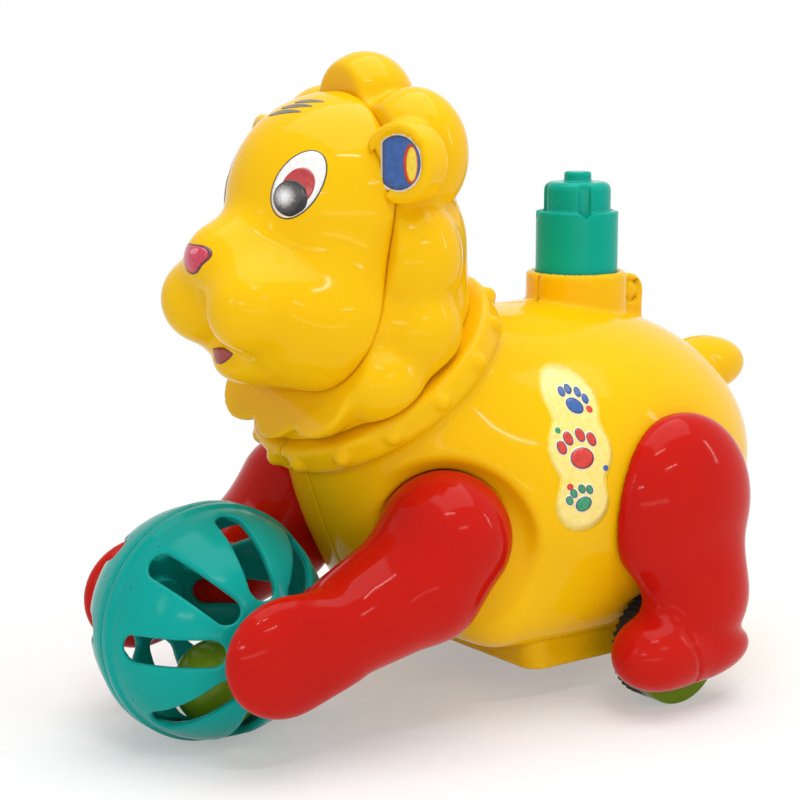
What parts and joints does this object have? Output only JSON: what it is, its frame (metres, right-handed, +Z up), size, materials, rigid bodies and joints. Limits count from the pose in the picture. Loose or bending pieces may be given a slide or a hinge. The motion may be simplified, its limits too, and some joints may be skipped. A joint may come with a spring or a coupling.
{
  "type": "press and go toy lion",
  "caption": "Yellow plastic toy lion holding a slotted rattle ball as its front wheel; pressing the back knob turns geared rear wheels.",
  "frame": {"origin": "middle of the footprint on the ground, at the bottom of the bounding box", "axes": "+X forward towards the ball, +Y the lion's left, +Z up"},
  "size_m": [0.2, 0.1192, 0.159],
  "materials": {
    "yellow_plastic": "glossy moulded, warm yellow",
    "red_plastic": "glossy moulded, red",
    "teal_plastic": "glossy moulded, teal",
    "green_plastic": "glossy moulded, leaf green",
    "tyre_rubber": "matt black ribbed rubber",
    "steel": "plain bright steel",
    "nylon": "natural off-white, unpolished",
    "eye_print": "printed white film with a red and dark eye",
    "ear_print": "printed blue film",
    "label_print": "printed pale yellow film",
    "nose_print": "printed crimson film",
    "stripe_print": "printed grey-brown film"
  },
  "bodies": {
    "lion": {"body_left_shell": "yellow_plastic", "body_right_shell": "yellow_plastic", "neck_spigot": "yellow_plastic", "mane_shell": "yellow_plastic", "face_shell": "yellow_plastic", "front_leg_left": "red_plastic", "front_leg_right": "red_plastic", "rear_leg_left": "red_plastic", "rear_leg_right": "red_plastic", "gearbox_tray": "yellow_plastic", "gearbox_left_plate": "nylon", "gearbox_right_plate": "nylon", "rack_guide": "nylon", "drive_shaft": "steel", "swing_shaft": "steel", "gearbox_screws": "steel", "body_screws": "steel", "leg_screws": "steel", "return_spring": "steel", "eye_sticker_left": "eye_print", "eye_sticker_right": "eye_print", "ear_lining_left": "ear_print", "ear_lining_right": "ear_print", "side_label_left": "label_print", "side_label_right": "label_print", "nose_sticker": "nose_print", "forehead_stripes": "stripe_print"},
    "plunger": {"plunger_knob": "teal_plastic", "plunger_rack": "nylon"},
    "drive": {"drive_gear": "nylon"},
    "swing": {"swing_gear": "nylon"},
    "axle": {"rear_axle": "steel", "axle_gear": "nylon", "wheel_hub_left": "green_plastic", "wheel_hub_right": "green_plastic", "tyre_left": "tyre_rubber", "tyre_right": "tyre_rubber"},
    "ball": {"ball_left_half": "teal_plastic", "ball_right_half": "teal_plastic"},
    "bead": {"rattle_bead": "green_plastic"}
  },
  "joints": [
    {"name": "knob_press", "type": "slide", "parent": "lion", "child": "plunger", "axis": [0, 0, -1], "range_m": [0, 0.016], "stiffness_N_per_m": 160, "springref_m": -0.005, "deforming": ["return_spring"]},
    {"name": "drive_gear_turn", "type": "hinge", "parent": "lion", "child": "drive", "pos_m": [-0.0297, 0, 0.0355], "axis": [0, 1, 0], "range_deg": [-185, 0]},
    {"name": "swing_gear_turn", "type": "hinge", "parent": "lion", "child": "swing", "pos_m": [-0.02762, 0, 0.02216], "axis": [0, 1, 0], "range_deg": [0, 810]},
    {"name": "rear_axle_turn", "type": "hinge", "parent": "lion", "child": "axle", "pos_m": [-0.0341, 0, 0.0134], "axis": [0, 1, 0], "continuous": true},
    {"name": "ball_turn", "type": "hinge", "parent": "lion", "child": "ball", "pos_m": [0.0719, 0, 0.0281], "axis": [0, 1, 0], "continuous": true},
    {"name": "bead_roll", "type": "hinge", "parent": "lion", "child": "bead", "pos_m": [0.0719, 0, 0.0281], "axis": [0, 1, 0], "continuous": true}
  ],
  "couplings": [
    {"joint": "drive_gear_turn", "follows": "knob_press", "rad_per_m": -200},
    {"joint": "swing_gear_turn", "follows": "knob_press", "rad_per_m": 880}
  ]
}
